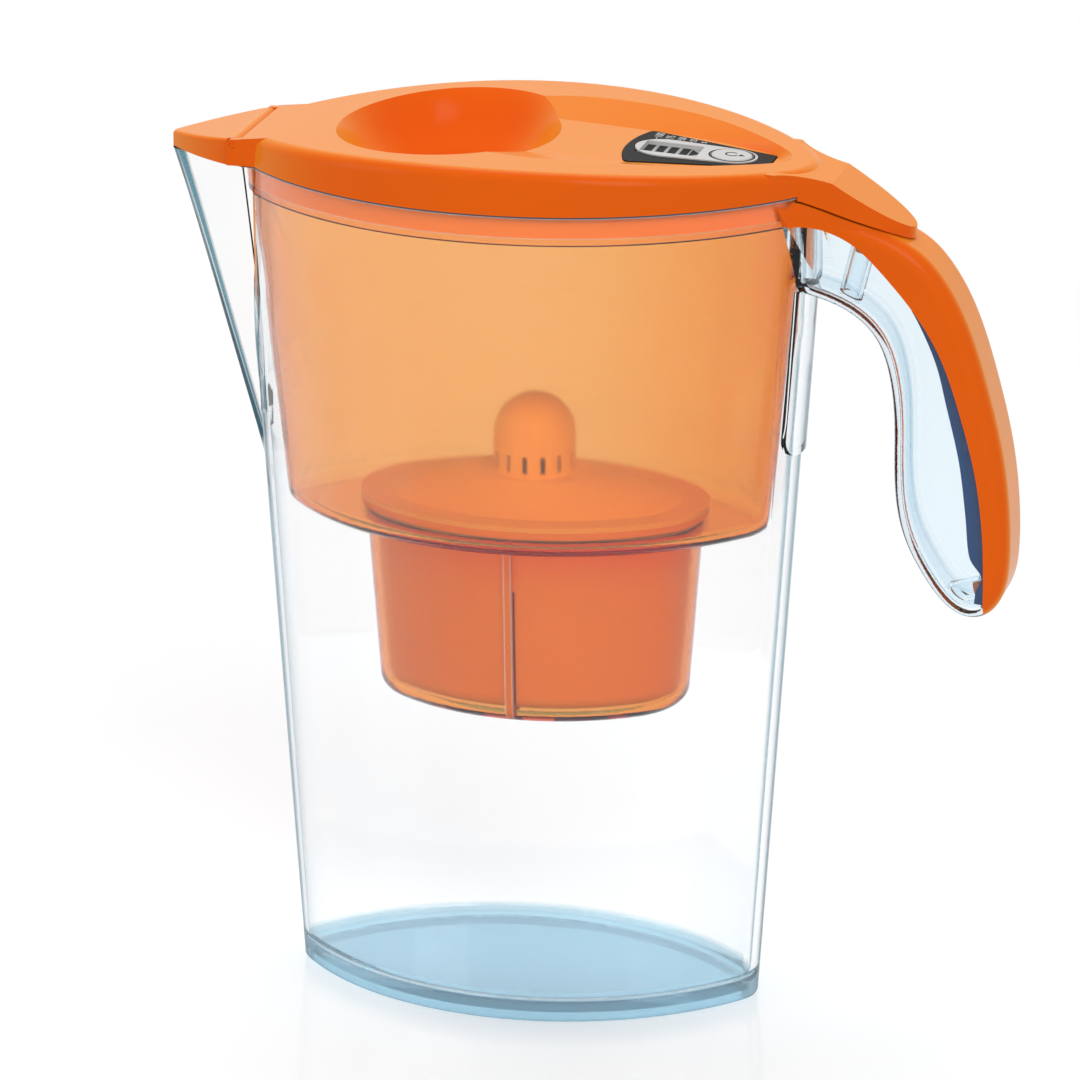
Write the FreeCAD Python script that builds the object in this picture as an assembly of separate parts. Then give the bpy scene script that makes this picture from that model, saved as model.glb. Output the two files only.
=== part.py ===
import FreeCAD, Part
import math
import os
from FreeCAD import Vector

# Slim oval water filter pitcher: a clear jug with a pointed spout and a hollow handle, an orange
# tank that hangs in its mouth, a drop-in filter cartridge in the tank's well, and a hinged lid
# set with a filter-change indicator. Millimetres. The origin is the middle of the foot, on the
# table. +X points to the handle, -X to the spout and +Z up.

# Jug
rim_height = 238.0
base_half_length = 66.4
base_half_width = 37.0
base_end_radius = 10.0
rim_flare = 15.4
jug_wall = 2.5
jug_floor = 3.0
foot_width = 5.0
foot_recess = 2.0
foot_round = 1.6
floor_round = 4.0
seat_depth = 8.5
rim_wall = 1.5
overrun = 6.0
slip = 0.3
snug = 0.15

# Spout
spout_reach = 20.4
spout_drop = 88.0
spout_half_width = 18.6
spout_tip_radius = 4.6
spout_wall = 2.2
spout_shoulder = 5.0
spout_back = 8.0
spout_rim_drop = 0.5
spout_level_shares = [0.0, 0.33, 0.61, 0.9, 1.0]
spout_reach_shares = [1.0, 0.66, 0.40, 0.13, 0.04]
spout_width_shares = [1.0, 0.78, 0.55, 0.26, 0.16]

# Handle
handle_reach = 55.7
handle_drop = 117.4
handle_half_width = 11.5
handle_wall = 2.5
handle_round = 4.4
handle_outline_shares = [
    (-0.14, -0.004), (0.183, 0.056), (0.399, 0.094), (0.533, 0.131), (0.62, 0.174),
    (0.745, 0.273), (0.867, 0.438), (0.953, 0.602), (0.996, 0.776), (0.996, 0.869),
    (0.962, 0.947), (0.88, 0.993), (0.785, 1.0), (0.677, 0.972), (0.569, 0.908),
    (0.467, 0.815), (0.415, 0.69), (0.408, 0.552), (0.377, 0.422), (0.302, 0.334),
    (0.183, 0.283), (0.04, 0.254), (-0.14, 0.234)]
handle_split_shares = [
    (-0.3, 0.058), (0.04, 0.08), (0.183, 0.107), (0.291, 0.148), (0.39, 0.197),
    (0.499, 0.258), (0.646, 0.371), (0.734, 0.485), (0.811, 0.614), (0.858, 0.741),
    (0.876, 0.857), (0.872, 1.08)]
root_back = 20.0
root_length = 5.5
root_bow_radius = 17.0
root_sweep = 60.0
root_low_sweep = 14.0
peg_radius = 2.0
socket_wall = 1.2
peg_foot_shares = [(0.14, 0.292), (0.70, 0.965)]
peg_head_shares = [(0.26, 0.055), (0.955, 0.93)]
socket_shares = [0.8, 0.55]
peg_shares = [0.6, 0.42]
pad_height = 48.0
pad_thickness = 1.2
pad_corner = 6.0

# Tank
tank_wall = 2.0
collar_wall = 1.8
tank_top_gap = 1.0
tank_floor_drop = 99.8
tank_foot_half_length = 68.2
tank_foot_half_width = 41.4
tank_foot_end_radius = 15.0
tank_round = 4.5
well_centre = 1.5
well_mouth_half_length = 47.5
well_mouth_half_width = 31.5
well_mouth_end_radius = 23.0
well_foot_half_length = 43.6
well_foot_half_width = 28.6
well_foot_end_radius = 21.0
well_depth = 52.5
well_round = 5.0
drain_radius = 3.0
drain_spacing = 44.5
drain_length = 1.5
key_half_length = 11.0
key_half_width = 16.0
key_height = 26.0
key_wall = 1.6
guide_rib_height = 38.0
guide_rib_width = 1.4

# Cartridge
cup_gap = 0.7
cup_wall = 1.5
cup_flange = 3.6
flange_thickness = 2.0
seal_thickness = 1.2
seal_width = 2.4
key_gap = 0.8
outlet_radius = 8.0
screen_thickness = 0.8
bed_gap = 0.2
resin_depth = 26.0
bed_space = 6.0
dome_height = 8.5
dome_half_length = 19.0
dome_half_width = 14.0
dome_waist_share = 0.55
knob_radius = 11.3
knob_height = 22.0
knob_wall = 1.4
slot_count = 14
slot_width = 1.3
slot_height = 5.0

# Lid
lid_wall = 2.2
skirt_height = 11.9
skirt_lean = 1.0
crown_length = 172.0
crown_end_drop = 6.0
crown_shift = -4.0
lid_edge_round = 3.2
plug_depth = 5.0
plug_wall = 1.8
bowl_centre = -22.5
bowl_half_length = 32.6
bowl_half_width = 38.4
bowl_depth = 17.5
bowl_level_shares = [-0.12, 0.0, 0.12, 0.45, 0.8, 1.0]
bowl_size_shares = [1.1, 1.0, 0.945, 0.84, 0.7, 0.62]
fill_hole_half_length = 12.0
fill_hole_half_width = 15.0
facet_slope = 3.2
facet_drop = 5.35
facet_half_width = 18.3
facet_length = 78.5
facet_tip_inset = 11.3
facet_rise = 4.0
facet_skin = 3.6
trough_reach = 6.5
trough_spread = 21.7
trough_place_shares = [0.0, 0.195, 0.36, 0.505, 0.68, 0.84, 0.955, 1.0]
trough_floor_shares = [1.0, 1.0, 0.97, 0.93, 0.82, 0.62, 0.38, 0.0]
trough_top_shares = [1.0, 1.0, 0.87, 0.76, 0.60, 0.35, 0.05, 0.0]
seam_inset = 4.2
seam_drop = 4.5
neck_length = 9.0
neck_half_width = 19.6
tab_length = 26.6
tab_flat = 5.3
tab_flat_drop = 8.3
tab_neck = 9.8
tab_end_drop = 21.6
tab_wall = 2.0
tab_steps = 8
cover_gap = 0.5
cover_sink = 0.25

# Spout flap
flap_tip_height = 3.2
flap_tip_radius = 3.0
flap_tip_angle = 50.0
flap_bow = 1.6
flap_edge_round = 1.2
flap_seam = 1.2
flap_wall = 1.8
barrel_radius = 1.7
pin_radius = 0.9
pin_clearance = 0.05
pin_length = 2.0
ear_width = 2.2

# Fill flap
shutter_lap = 2.4
shutter_thickness = 1.8
shutter_hinge_offset = 4.4
shutter_barrel_radius = 2.0
shutter_pin_radius = 1.1
shutter_ear_width = 2.6
shutter_rib_height = 2.2

# Indicator
module_centre = 49.5
bezel_length = 37.6
bezel_bulge = 3.4
bezel_wide_half_width = 17.0
bezel_narrow_half_width = 6.3
bezel_skin = 1.6
bezel_proud = 0.3
bezel_corner = 1.6
bezel_lip = 1.6
housing_wall = 1.4
housing_depth = 9.4
face_length = 34.0
face_wide_half_width = 8.6
face_narrow_half_width = 7.0
face_shift = -2.6
face_thickness = 1.0
face_proud = 0.3
window_length = 16.0
window_half_width = 5.3
window_shift = -9.5
lcd_margin = 0.9
lcd_thickness = 0.8
strip_width = 1.4
board_thickness = 1.0
board_drop = 4.6
button_shift = 7.3
button_radius = 5.6
button_gap = 0.25
button_flange = 1.0
button_proud = 0.35
button_travel = 0.7
switch_side = 6.0
switch_plunger_radius = 1.7
cell_radius = 10.0
cell_thickness = 3.2
cell_shift = -7.0
clip_thickness = 0.4
clip_width = 4.0
cover_thickness = 1.6
cover_seal_width = 0.8
cover_seal_thickness = 0.8
boss_radius = 2.0
boss_clear_share = 0.75
screw_radius = 0.85
screw_head_radius = 1.6
screw_head_height = 1.1
screw_length = 6.0


def oval_wire(half_length, half_width, end_radius, height, centre=0.0):
    """A level oval of four tangent arcs."""
    reach = half_length - end_radius
    side_radius = (reach ** 2 + half_width ** 2 - end_radius ** 2) / (2 * (half_width - end_radius))
    angle = math.atan2(side_radius - half_width, reach)
    touch_x = reach + end_radius * math.cos(angle)
    touch_y = end_radius * math.sin(angle)

    def at(x, y):
        return Vector(centre + x, y, height)

    arcs = [
        (at(touch_x, -touch_y), at(half_length, 0), at(touch_x, touch_y)),
        (at(touch_x, touch_y), at(0, half_width), at(-touch_x, touch_y)),
        (at(-touch_x, touch_y), at(-half_length, 0), at(-touch_x, -touch_y)),
        (at(-touch_x, -touch_y), at(0, -half_width), at(touch_x, -touch_y))]
    return Part.Wire([Part.Arc(*points).toShape() for points in arcs])


def flare_at(height):
    """How far the jug's wall stands outside its foot at a height."""
    return rim_flare * height / rim_height


def jug_oval(inset, height):
    widen = flare_at(height) - inset
    return oval_wire(base_half_length + widen, base_half_width + widen, base_end_radius + widen, height)


def jug_solid(inset, low, high):
    """The space inside the jug's outer wall, less an inset, between two heights."""
    return Part.makeLoft([jug_oval(inset, low), jug_oval(inset, high)], True, True)


def box(low_x, high_x, low_y, high_y, low_z, high_z):
    return Part.makeBox(high_x - low_x, high_y - low_y, high_z - low_z, Vector(low_x, low_y, low_z))


def rod(radius, start, end):
    return Part.makeCylinder(radius, (end - start).Length, start, end - start)


def prism(wire, height):
    return Part.Face(wire).extrude(Vector(0, 0, height))


def side_face(edges):
    return Part.Face(Part.Wire(Part.__sortEdges__(edges)))


def slab(face, half_width):
    """A face in the XZ plane, made into a solid as wide on both sides of it."""
    solid = face.extrude(Vector(0, half_width + half_width, 0))
    solid.translate(Vector(0, -half_width, 0))
    return solid


def polygon(points):
    return Part.makePolygon(points + [points[0]])


def edges_where(shape, test):
    return [edge for edge in shape.Edges if test(edge)]


def at_height(height, tolerance=0.01):
    """A test for edges that lie level at a height."""
    def test(edge):
        bounds = edge.BoundBox
        return abs(bounds.ZMin - height) < tolerance and abs(bounds.ZMax - height) < tolerance
    return test


def save(shape, node):
    os.makedirs("parts", exist_ok=True)
    shape.exportStep("parts/" + node + ".step")


rim_half_length = base_half_length + rim_flare
seat_height = rim_height - seat_depth
floor_height = foot_recess + jug_floor


# Handle volume: one smooth side outline, widened both ways, with a flared root at the wall
def handle_point(shares):
    return Vector(rim_half_length + shares[0] * handle_reach, 0, rim_height - shares[1] * handle_drop)


def spline_through(points):
    curve = Part.BSplineCurve()
    curve.interpolate(points)
    return curve


def inset_points(curve, inset, count):
    """Points beside a curve in the XZ plane, on its right-hand side seen from the front."""
    points = []
    first, last = curve.FirstParameter, curve.LastParameter
    for step in range(count + 1):
        place = first + (last - first) * step / count
        along = curve.tangent(place)[0]
        points.append(curve.value(place) + Vector(along.z, 0, -along.x) * inset)
    return points


def root_plan(sweep_degrees, height):
    """The plan of the handle's root: two bows that spread from the handle's sides to the wall."""
    sweep = math.radians(sweep_degrees)
    back = rim_half_length - root_back
    front = rim_half_length + root_length
    side = handle_half_width - slip

    def bow(angle, sign):
        x = front - root_bow_radius * math.sin(angle)
        y = side + root_bow_radius * (1 - math.cos(angle))
        return Vector(x, sign * y, height)

    edges = []
    for sign in (-1, 1):
        wide = bow(sweep, sign)
        edges.append(Part.Arc(bow(0, sign), bow(sweep / 2, sign), wide).toShape())
        edges.append(Part.makeLine(wide, Vector(back, wide.y, height)))
    edges.append(Part.makeLine(bow(0, -1), bow(0, 1)))
    wide_y = bow(sweep, 1).y
    edges.append(Part.makeLine(Vector(back, -wide_y, height), Vector(back, wide_y, height)))
    return Part.Wire(Part.__sortEdges__(edges))


def handle_volume(inset):
    outline = spline_through([handle_point(shares) for shares in handle_outline_shares])
    if inset:
        outline = spline_through(inset_points(outline, inset, 2 * len(handle_outline_shares)))
    close = Part.makeLine(outline.EndPoint, outline.StartPoint)
    solid = slab(side_face([outline.toShape(), close]), handle_half_width - inset)
    long_edges = edges_where(solid, lambda edge: edge.Length > handle_drop)
    return solid.makeFillet(handle_round - inset, long_edges)


def half_space_above(points):
    """A wide slab over a line of points in the XZ plane."""
    top = rim_height + rim_height
    closed = points + [Vector(points[-1].x, 0, top), Vector(points[0].x, 0, top)]
    return slab(Part.Face(polygon(closed)), rim_half_length)


def crest_line(lift):
    """The handle's outer line from the rim to the end of the lid's tab, raised, and level over the rim."""
    curve = spline_through([handle_point(shares) for shares in handle_outline_shares])
    start = handle_point(handle_outline_shares[0]).x + slip
    end = rim_half_length + tab_length + slip
    points = [Vector(rim_half_length - root_back, 0, rim_height + min(lift, 0))]
    for step in range(tab_steps + 1):
        x = start + (end - start) * step / tab_steps
        low = curve.FirstParameter
        high = low + (curve.LastParameter - low) / 2
        while high - low > (curve.LastParameter - curve.FirstParameter) / 1e5:
            middle = (low + high) / 2
            low, high = (middle, high) if curve.value(middle).x < x else (low, middle)
        points.append(Vector(x, 0, min(curve.value(low).z + lift, rim_height + min(lift, 0))))
    return points


def tab_plan(inset, height):
    """The lid tab's plan: two bows that narrow from the lid to the handle's width, and an oval end."""
    side = handle_half_width - slip - inset
    neck_end = rim_half_length + tab_flat
    end = rim_half_length + tab_length - inset
    back = rim_half_length - root_back
    oval = Part.Ellipse(Vector(end, 0, height), Vector(neck_end, side, height), Vector(neck_end, 0, height))
    tip = Part.Arc(oval, -math.pi / 2, math.pi / 2).toShape()
    if inset:
        back = back + root_length
        corners = [Vector(neck_end, side, height), Vector(back, side, height),
                   Vector(back, -side, height), Vector(neck_end, -side, height)]
        return Part.Wire(Part.__sortEdges__(Part.makePolygon(corners).Edges + [tip]))
    sweep = math.radians(root_sweep)
    edges = [tip]
    for sign in (-1, 1):
        def bow(angle):
            y = side + root_bow_radius * (1 - math.cos(angle))
            return Vector(neck_end - root_bow_radius * math.sin(angle), sign * y, height)
        edges.append(Part.Arc(bow(0), bow(sweep / 2), bow(sweep)).toShape())
        edges.append(Part.makeLine(bow(sweep), Vector(back, bow(sweep).y, height)))
    wide = side + root_bow_radius * (1 - math.cos(sweep))
    edges.append(Part.makeLine(Vector(back, -wide, height), Vector(back, wide, height)))
    return Part.Wire(Part.__sortEdges__(edges))


# Jug: one clear moulding with a foot ring, a pointed spout and a pad under the handle
def spout_section(level_share, reach_share, width_share, inset):
    """One level of the spout: two straight sides that run tangent into a round tip."""
    height = rim_height - spout_rim_drop - level_share * spout_drop
    wall_x = -(base_half_length + flare_at(height))
    tip_radius = spout_tip_radius * (width_share + reach_share) / 2 - inset * reach_share
    tip_x = wall_x - spout_reach * reach_share + inset
    half_width = spout_half_width * width_share - inset
    back_x = wall_x + spout_back
    centre = Vector(tip_x + tip_radius, 0, height)
    shoulder = Vector(wall_x + spout_shoulder, half_width, height)
    to_shoulder = shoulder - centre
    swing = math.acos(tip_radius / to_shoulder.Length)
    angle = math.atan2(to_shoulder.y, to_shoulder.x) + swing
    touch = centre + Vector(math.cos(angle), math.sin(angle), 0) * tip_radius
    mirror_touch = Vector(touch.x, -touch.y, height)
    mirror_shoulder = Vector(shoulder.x, -half_width, height)
    tip = Part.Arc(touch, Vector(tip_x, 0, height), mirror_touch).toShape()
    return Part.Wire([
        Part.makeLine(shoulder, touch), tip, Part.makeLine(mirror_touch, mirror_shoulder),
        Part.makeLine(mirror_shoulder, Vector(back_x, -half_width, height)),
        Part.makeLine(Vector(back_x, -half_width, height), Vector(back_x, half_width, height)),
        Part.makeLine(Vector(back_x, half_width, height), shoulder)])


def spout_solid(inset, levels):
    shares = list(zip(spout_level_shares, spout_reach_shares, spout_width_shares))[:levels]
    return Part.makeLoft([spout_section(*share, inset) for share in shares], True, False)


def make_pad():
    """The raised strip of wall under the handle's root, with two rounded lower corners."""
    high = handle_point(handle_outline_shares[-1]).z
    low = high - pad_height
    strip = box(0, rim_half_length + rim_flare, -handle_half_width, handle_half_width, low, high)
    low_corners = edges_where(strip, lambda edge: at_height(low)(edge) and edge.BoundBox.YLength < slip)
    return jug_solid(-pad_thickness, low, high).common(strip.makeFillet(pad_corner, low_corners))


def make_jug():
    outside = jug_solid(0, 0, rim_height)
    outside = outside.makeFillet(foot_round, edges_where(outside, at_height(0)))
    spout = spout_solid(0, len(spout_level_shares))
    jug = outside.fuse([spout, make_pad()])
    inside = jug_solid(jug_wall, floor_height, seat_height)
    inside = inside.makeFillet(floor_round, edges_where(inside, at_height(floor_height)))
    rebate = jug_solid(rim_wall, seat_height, rim_height + overrun)
    channel = spout_solid(spout_wall, len(spout_level_shares) - 1)
    mouth = channel.copy()
    mouth.translate(Vector(0, 0, spout_rim_drop + spout_rim_drop))
    underside = jug_solid(foot_width, -overrun, foot_recess)
    return jug.cut([inside, rebate, channel, mouth, underside])


# Handle: a clear channel moulded to the jug, and the orange cover that clips over its open side
def make_handle():
    """The grip and its cover, split along one line and pegged together."""
    root_low = handle_point(handle_outline_shares[-1]).z + handle_round
    root = Part.makeLoft([root_plan(root_low_sweep, root_low), root_plan(root_sweep, rim_height)], True, True)
    seat_line = crest_line(-cover_sink)
    seat_low_line = crest_line(-cover_sink - handle_round)
    seat_low = seat_low_line[-1].z
    seat = prism(tab_plan(0, seat_low), crown_height - seat_low).common(
        slab(Part.Face(polygon(seat_line + list(reversed(seat_low_line)))), rim_half_length))
    past_root = box(rim_half_length + root_length / 2, crown_length, -rim_half_length, rim_half_length,
                    0, crown_height)
    root = root.cut(half_space_above(seat_line))
    volume = handle_volume(0).fuse([root, seat.common(past_root)])
    void = handle_volume(handle_wall)
    split = spline_through([handle_point(shares) for shares in handle_split_shares])
    far_x = rim_half_length + handle_reach + overrun
    far_low = Vector(far_x, 0, split.EndPoint.z)
    far_high = Vector(far_x, 0, rim_height + overrun)
    near_high = Vector(split.StartPoint.x, 0, rim_height + overrun)
    rim = Part.makePolygon([split.EndPoint, far_low, far_high, near_high, split.StartPoint])
    cover_side = slab(side_face([split.toShape()] + rim.Edges), rim_half_length)
    jug_side = jug_solid(0, 0, rim_height + overrun)
    grip = volume.cut([cover_side, void, jug_side, make_pad()])
    cover = volume.common(cover_side).cut([void, jug_side])
    lining = handle_volume(handle_wall / 2).cut(jug_side)
    sockets = []
    pegs = []
    places = zip(peg_foot_shares, peg_head_shares, socket_shares, peg_shares)
    for foot_shares, head_shares, socket_end, peg_end in places:
        foot = handle_point(foot_shares)
        head = handle_point(head_shares)
        lift = head - foot
        socket = rod(peg_radius + snug + socket_wall, foot, foot + lift * socket_end)
        hole = rod(peg_radius + snug, foot, foot + lift)
        peg = rod(peg_radius, foot + lift * peg_end, head)
        sockets.append(socket.cut(hole).common(lining))
        pegs.append(peg.common(lining))
    return grip.fuse(sockets), cover.fuse(pegs)


# Tank: collar, ledge, tapered oval wall, floor, and the well that holds the cartridge
tank_floor_height = rim_height - tank_floor_drop
well_floor_height = tank_floor_height - well_depth
ledge_height = seat_height + collar_wall


def tank_space(inset, low_extra):
    top = jug_oval(jug_wall + tank_top_gap + inset, ledge_height)
    foot = oval_wire(tank_foot_half_length - inset, tank_foot_half_width - inset,
                     tank_foot_end_radius - inset, tank_floor_height + low_extra)
    return Part.makeLoft([foot, top], True, True)


def well_space(inset, low, high):
    """The well's tapered oval between two heights, less an inset."""
    def level(height):
        share = (height - well_floor_height) / well_depth
        return oval_wire(well_foot_half_length + (well_mouth_half_length - well_foot_half_length) * share - inset,
                         well_foot_half_width + (well_mouth_half_width - well_foot_half_width) * share - inset,
                         well_foot_end_radius + (well_mouth_end_radius - well_foot_end_radius) * share - inset,
                         height, well_centre)
    return Part.makeLoft([level(low), level(high)], True, True)


def key_box(grow, low, high):
    return box(well_centre - key_half_length - grow, well_centre + key_half_length + grow,
               -key_half_width - grow, key_half_width + grow, low, high)


def rounded_low(solid, radius, height):
    return solid.makeFillet(radius, edges_where(solid, at_height(height)))


def make_tank():
    collar_inset = rim_wall + slip
    collar = jug_solid(collar_inset, seat_height, rim_height - slip)
    body = rounded_low(tank_space(0, 0), tank_round, tank_floor_height)
    well = rounded_low(well_space(0, well_floor_height, tank_floor_height + tank_wall), well_round,
                       well_floor_height)
    collar_inside = jug_solid(collar_inset + collar_wall, ledge_height, rim_height + overrun)
    inside = rounded_low(tank_space(tank_wall, tank_wall), tank_round - tank_wall / 2,
                         tank_floor_height + tank_wall)
    well_inside = rounded_low(
        well_space(tank_wall, well_floor_height + tank_wall, tank_floor_height + tank_wall + tank_wall),
        well_round - tank_wall / 2, well_floor_height + tank_wall)
    tank = collar.fuse([body, well]).cut([collar_inside, inside, well_inside])
    key_top = well_floor_height + key_height
    key = key_box(0, well_floor_height, key_top)
    key_inside = key_box(-key_wall, well_floor_height - overrun, key_top - key_wall)
    rib_top = well_floor_height + guide_rib_height
    rib = box(well_centre - guide_rib_width / 2, well_centre + guide_rib_width / 2,
              -well_foot_half_width - tank_wall, -key_half_width, well_floor_height + tank_wall, rib_top)
    rib = rib.common(well_space(tank_wall / 2, well_floor_height, tank_floor_height))
    pieces = [key, rib]
    holes = [key_inside]
    for side in (-1, 1):
        centre = Vector(well_centre + side * drain_spacing / 2, 0, well_floor_height)
        below = centre - Vector(0, 0, drain_length)
        above = centre + Vector(0, 0, tank_wall)
        pieces.append(rod(drain_radius + tank_wall / 2, below, above))
        holes.append(rod(drain_radius, below - Vector(0, 0, overrun), above + Vector(0, 0, overrun)))
    return tank.fuse(pieces).cut(holes)


# Cartridge: a notched oval cup of filter granules under a domed cap with a slotted knob
seat_top = tank_floor_height + tank_wall
flange_low = seat_top + seal_thickness
flange_top = flange_low + flange_thickness
cup_low = well_floor_height + tank_wall + cup_gap
notch_top = well_floor_height + key_height + key_gap


def cup_space(inset, low, high):
    return well_space(tank_wall + cup_gap + inset, low, high)


def make_cup():
    body = rounded_low(cup_space(0, cup_low, flange_top), well_round, cup_low)
    flange = cup_space(-cup_flange, flange_low, flange_top)
    notch = key_box(key_gap, cup_low - overrun, notch_top)
    rib_slot = box(well_centre - guide_rib_width / 2 - key_gap, well_centre + guide_rib_width / 2 + key_gap,
                   -well_foot_half_width - overrun, -key_half_width, cup_low - overrun,
                   well_floor_height + guide_rib_height + key_gap)
    inside = rounded_low(cup_space(cup_wall, cup_low + cup_wall, flange_top + overrun),
                         well_round - cup_wall, cup_low + cup_wall)
    notch_wall = key_box(key_gap + cup_wall, cup_low - overrun, notch_top + cup_wall)
    slot_wall = box(well_centre - guide_rib_width / 2 - key_gap - cup_wall,
                    well_centre + guide_rib_width / 2 + key_gap + cup_wall,
                    -well_foot_half_width - overrun, -key_half_width, cup_low - overrun,
                    well_floor_height + guide_rib_height + key_gap + cup_wall)
    inside = inside.cut([notch_wall, slot_wall])
    outlets = []
    for side in (-1, 1):
        centre = Vector(well_centre + side * drain_spacing / 2, 0, cup_low)
        outlets.append(rod(outlet_radius - cup_wall, centre, centre + Vector(0, 0, cup_wall + cup_wall)))
    cup = body.fuse(flange).cut([inside, notch, rib_slot] + outlets)
    return cup, inside


def granules(cup_inside, low, high):
    """A bed of granules: the cup's own space between two levels, less a small gap."""
    level = cup_space(cup_wall + bed_gap, low, high)
    clear = key_box(key_gap + cup_wall + bed_gap, well_floor_height, notch_top + cup_wall + bed_gap)
    slot = box(well_centre - guide_rib_width / 2 - key_gap - cup_wall - bed_gap,
               well_centre + guide_rib_width / 2 + key_gap + cup_wall + bed_gap,
               -well_foot_half_width - overrun, -key_half_width, well_floor_height,
               well_floor_height + guide_rib_height + key_gap + cup_wall + bed_gap)
    return level.common(cup_inside).cut([clear, slot])


def make_cap():
    """The cap: a rim that drops into the cup, a low dome and a hollow round knob with slots."""
    plate_low = flange_top
    plate_top = plate_low + cup_wall
    plate = cup_space(-cup_flange, plate_low, plate_top)
    plug = cup_space(cup_wall + bed_gap, plate_low - flange_thickness, plate_low)
    plug_inside = cup_space(cup_wall + bed_gap + cup_wall, plate_low - overrun, plate_low)

    def dome(inset):
        low = oval_wire(well_foot_half_length - inset, well_foot_half_width - inset,
                        well_foot_end_radius - inset, plate_low, well_centre)
        waist = oval_wire(well_foot_half_length - dome_height - inset, well_foot_half_width - dome_height - inset,
                          well_foot_end_radius - dome_height - inset, plate_low + dome_height * dome_waist_share,
                          well_centre)
        top = oval_wire(dome_half_length - inset, dome_half_width - inset, dome_half_width / 2 - inset,
                        plate_low + dome_height - inset, well_centre)
        return Part.makeLoft([low, waist, top], True, False)

    knob_low = plate_low + dome_height - cup_wall
    knob_top = plate_low + dome_height + knob_height
    axis_low = Vector(well_centre, 0, knob_low)
    cylinder_high = Vector(well_centre, 0, knob_top - knob_radius)
    knob = rod(knob_radius, axis_low, cylinder_high).fuse(Part.makeSphere(knob_radius, cylinder_high))
    hollow_radius = knob_radius - knob_wall
    hollow = rod(hollow_radius, axis_low - Vector(0, 0, overrun), cylinder_high)
    hollow = hollow.fuse(Part.makeSphere(hollow_radius, cylinder_high))
    slots = []
    slot_low = plate_low + dome_height + slot_width
    for number in range(slot_count):
        slot = box(hollow_radius - slot_width, knob_radius + slot_width, -slot_width / 2, slot_width / 2,
                   slot_low, slot_low + slot_height)
        slot.rotate(Vector(0, 0, 0), Vector(0, 0, 1), 360 * (number + 0.5) / slot_count)
        slot.translate(Vector(well_centre, 0, 0))
        slots.append(slot)
    shell = plate.fuse([plug, dome(0), knob])
    return shell.cut([plug_inside, dome(cup_wall), hollow] + slots).removeSplitter()


# Lid: crowned oval cover with a fill bowl, a sloping facet for the indicator and a thumb tab
rim_half_width = base_half_width + rim_flare
rim_end_radius = base_end_radius + rim_flare
crown_height = rim_height + skirt_height
seam_x = -(rim_half_length - seam_inset)
facet_height = crown_height - facet_drop
facet_tip = rim_half_length - facet_tip_inset


def lid_prism(inset, low, high):
    """The lid's oval, leaning in towards its top."""
    foot = oval_wire(rim_half_length - inset, rim_half_width - inset, rim_end_radius - inset, low)
    lean = skirt_lean * (high - low) / skirt_height
    top = oval_wire(rim_half_length - inset - lean, rim_half_width - inset - lean,
                    rim_end_radius - inset - lean, high)
    return Part.makeLoft([foot, top], True, True)


def under_crown(drop, low):
    """Everything below the crown's long arch, lowered by a drop, down to a height."""
    half = crown_length / 2
    left = Vector(crown_shift - half, 0, crown_height - crown_end_drop - drop)
    right = Vector(crown_shift + half, 0, crown_height - crown_end_drop - drop)
    arch = Part.Arc(left, Vector(crown_shift, 0, crown_height - drop), right).toShape()
    sides = Part.makePolygon([right, Vector(right.x, 0, low), Vector(left.x, 0, low), left])
    return slab(side_face([arch] + sides.Edges), rim_half_length)


def on_facet(shape):
    """Seat a shape that is built level about the indicator's centre on the sloping facet."""
    seated = shape.copy()
    seated.rotate(Vector(0, 0, 0), Vector(0, 1, 0), facet_slope)
    seated.translate(Vector(module_centre, 0, facet_height))
    return seated


def trough_plan(grow, rise_share, height):
    """The trough's outline at its floor, or spread by a share towards its top: a drop with its tip at +X."""
    left = facet_tip - facet_length - module_centre
    near = []
    for place, floor, top in zip(trough_place_shares, trough_floor_shares, trough_top_shares):
        x = left + place * (facet_length + rise_share * trough_reach)
        y = floor * facet_half_width + top * rise_share * trough_spread
        near.append(Vector(x + (grow if place == 1 else 0), -y - (grow if y > 0 else 0), height))
    far = [Vector(point.x, -point.y, height) for point in near[:-1]]
    side = spline_through(near + list(reversed(far))).toShape()
    return Part.Wire([side, Part.makeLine(far[0], near[0])])


def trough(grow, low, high):
    """The shallow trough that holds the facet, with sides that slope up to the crown."""
    return Part.makeLoft([trough_plan(grow, 0, low), trough_plan(grow, 1, high)], True, True)


def ellipse_wire(half_length, half_width, height):
    centre = Vector(bowl_centre, 0, height)
    if half_width > half_length:
        ellipse = Part.Ellipse(centre + Vector(0, half_width, 0), centre + Vector(-half_length, 0, 0), centre)
    else:
        ellipse = Part.Ellipse(centre + Vector(half_length, 0, 0), centre + Vector(0, half_width, 0), centre)
    return Part.Wire([ellipse.toShape()])


def bowl_space(grow):
    sections = []
    for level, size in zip(bowl_level_shares, bowl_size_shares):
        drop = level * bowl_depth + (grow if level > 0 else 0)
        sections.append(ellipse_wire(bowl_half_length * size + grow, bowl_half_width * size + grow,
                                     crown_height - drop))
    return Part.makeLoft(list(reversed(sections)), True, False)


def crown_z(x):
    half = crown_length / 2
    radius = (half * half + crown_end_drop * crown_end_drop) / (crown_end_drop + crown_end_drop)
    return crown_height - radius + math.sqrt(radius * radius - (x - crown_shift) ** 2)


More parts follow.
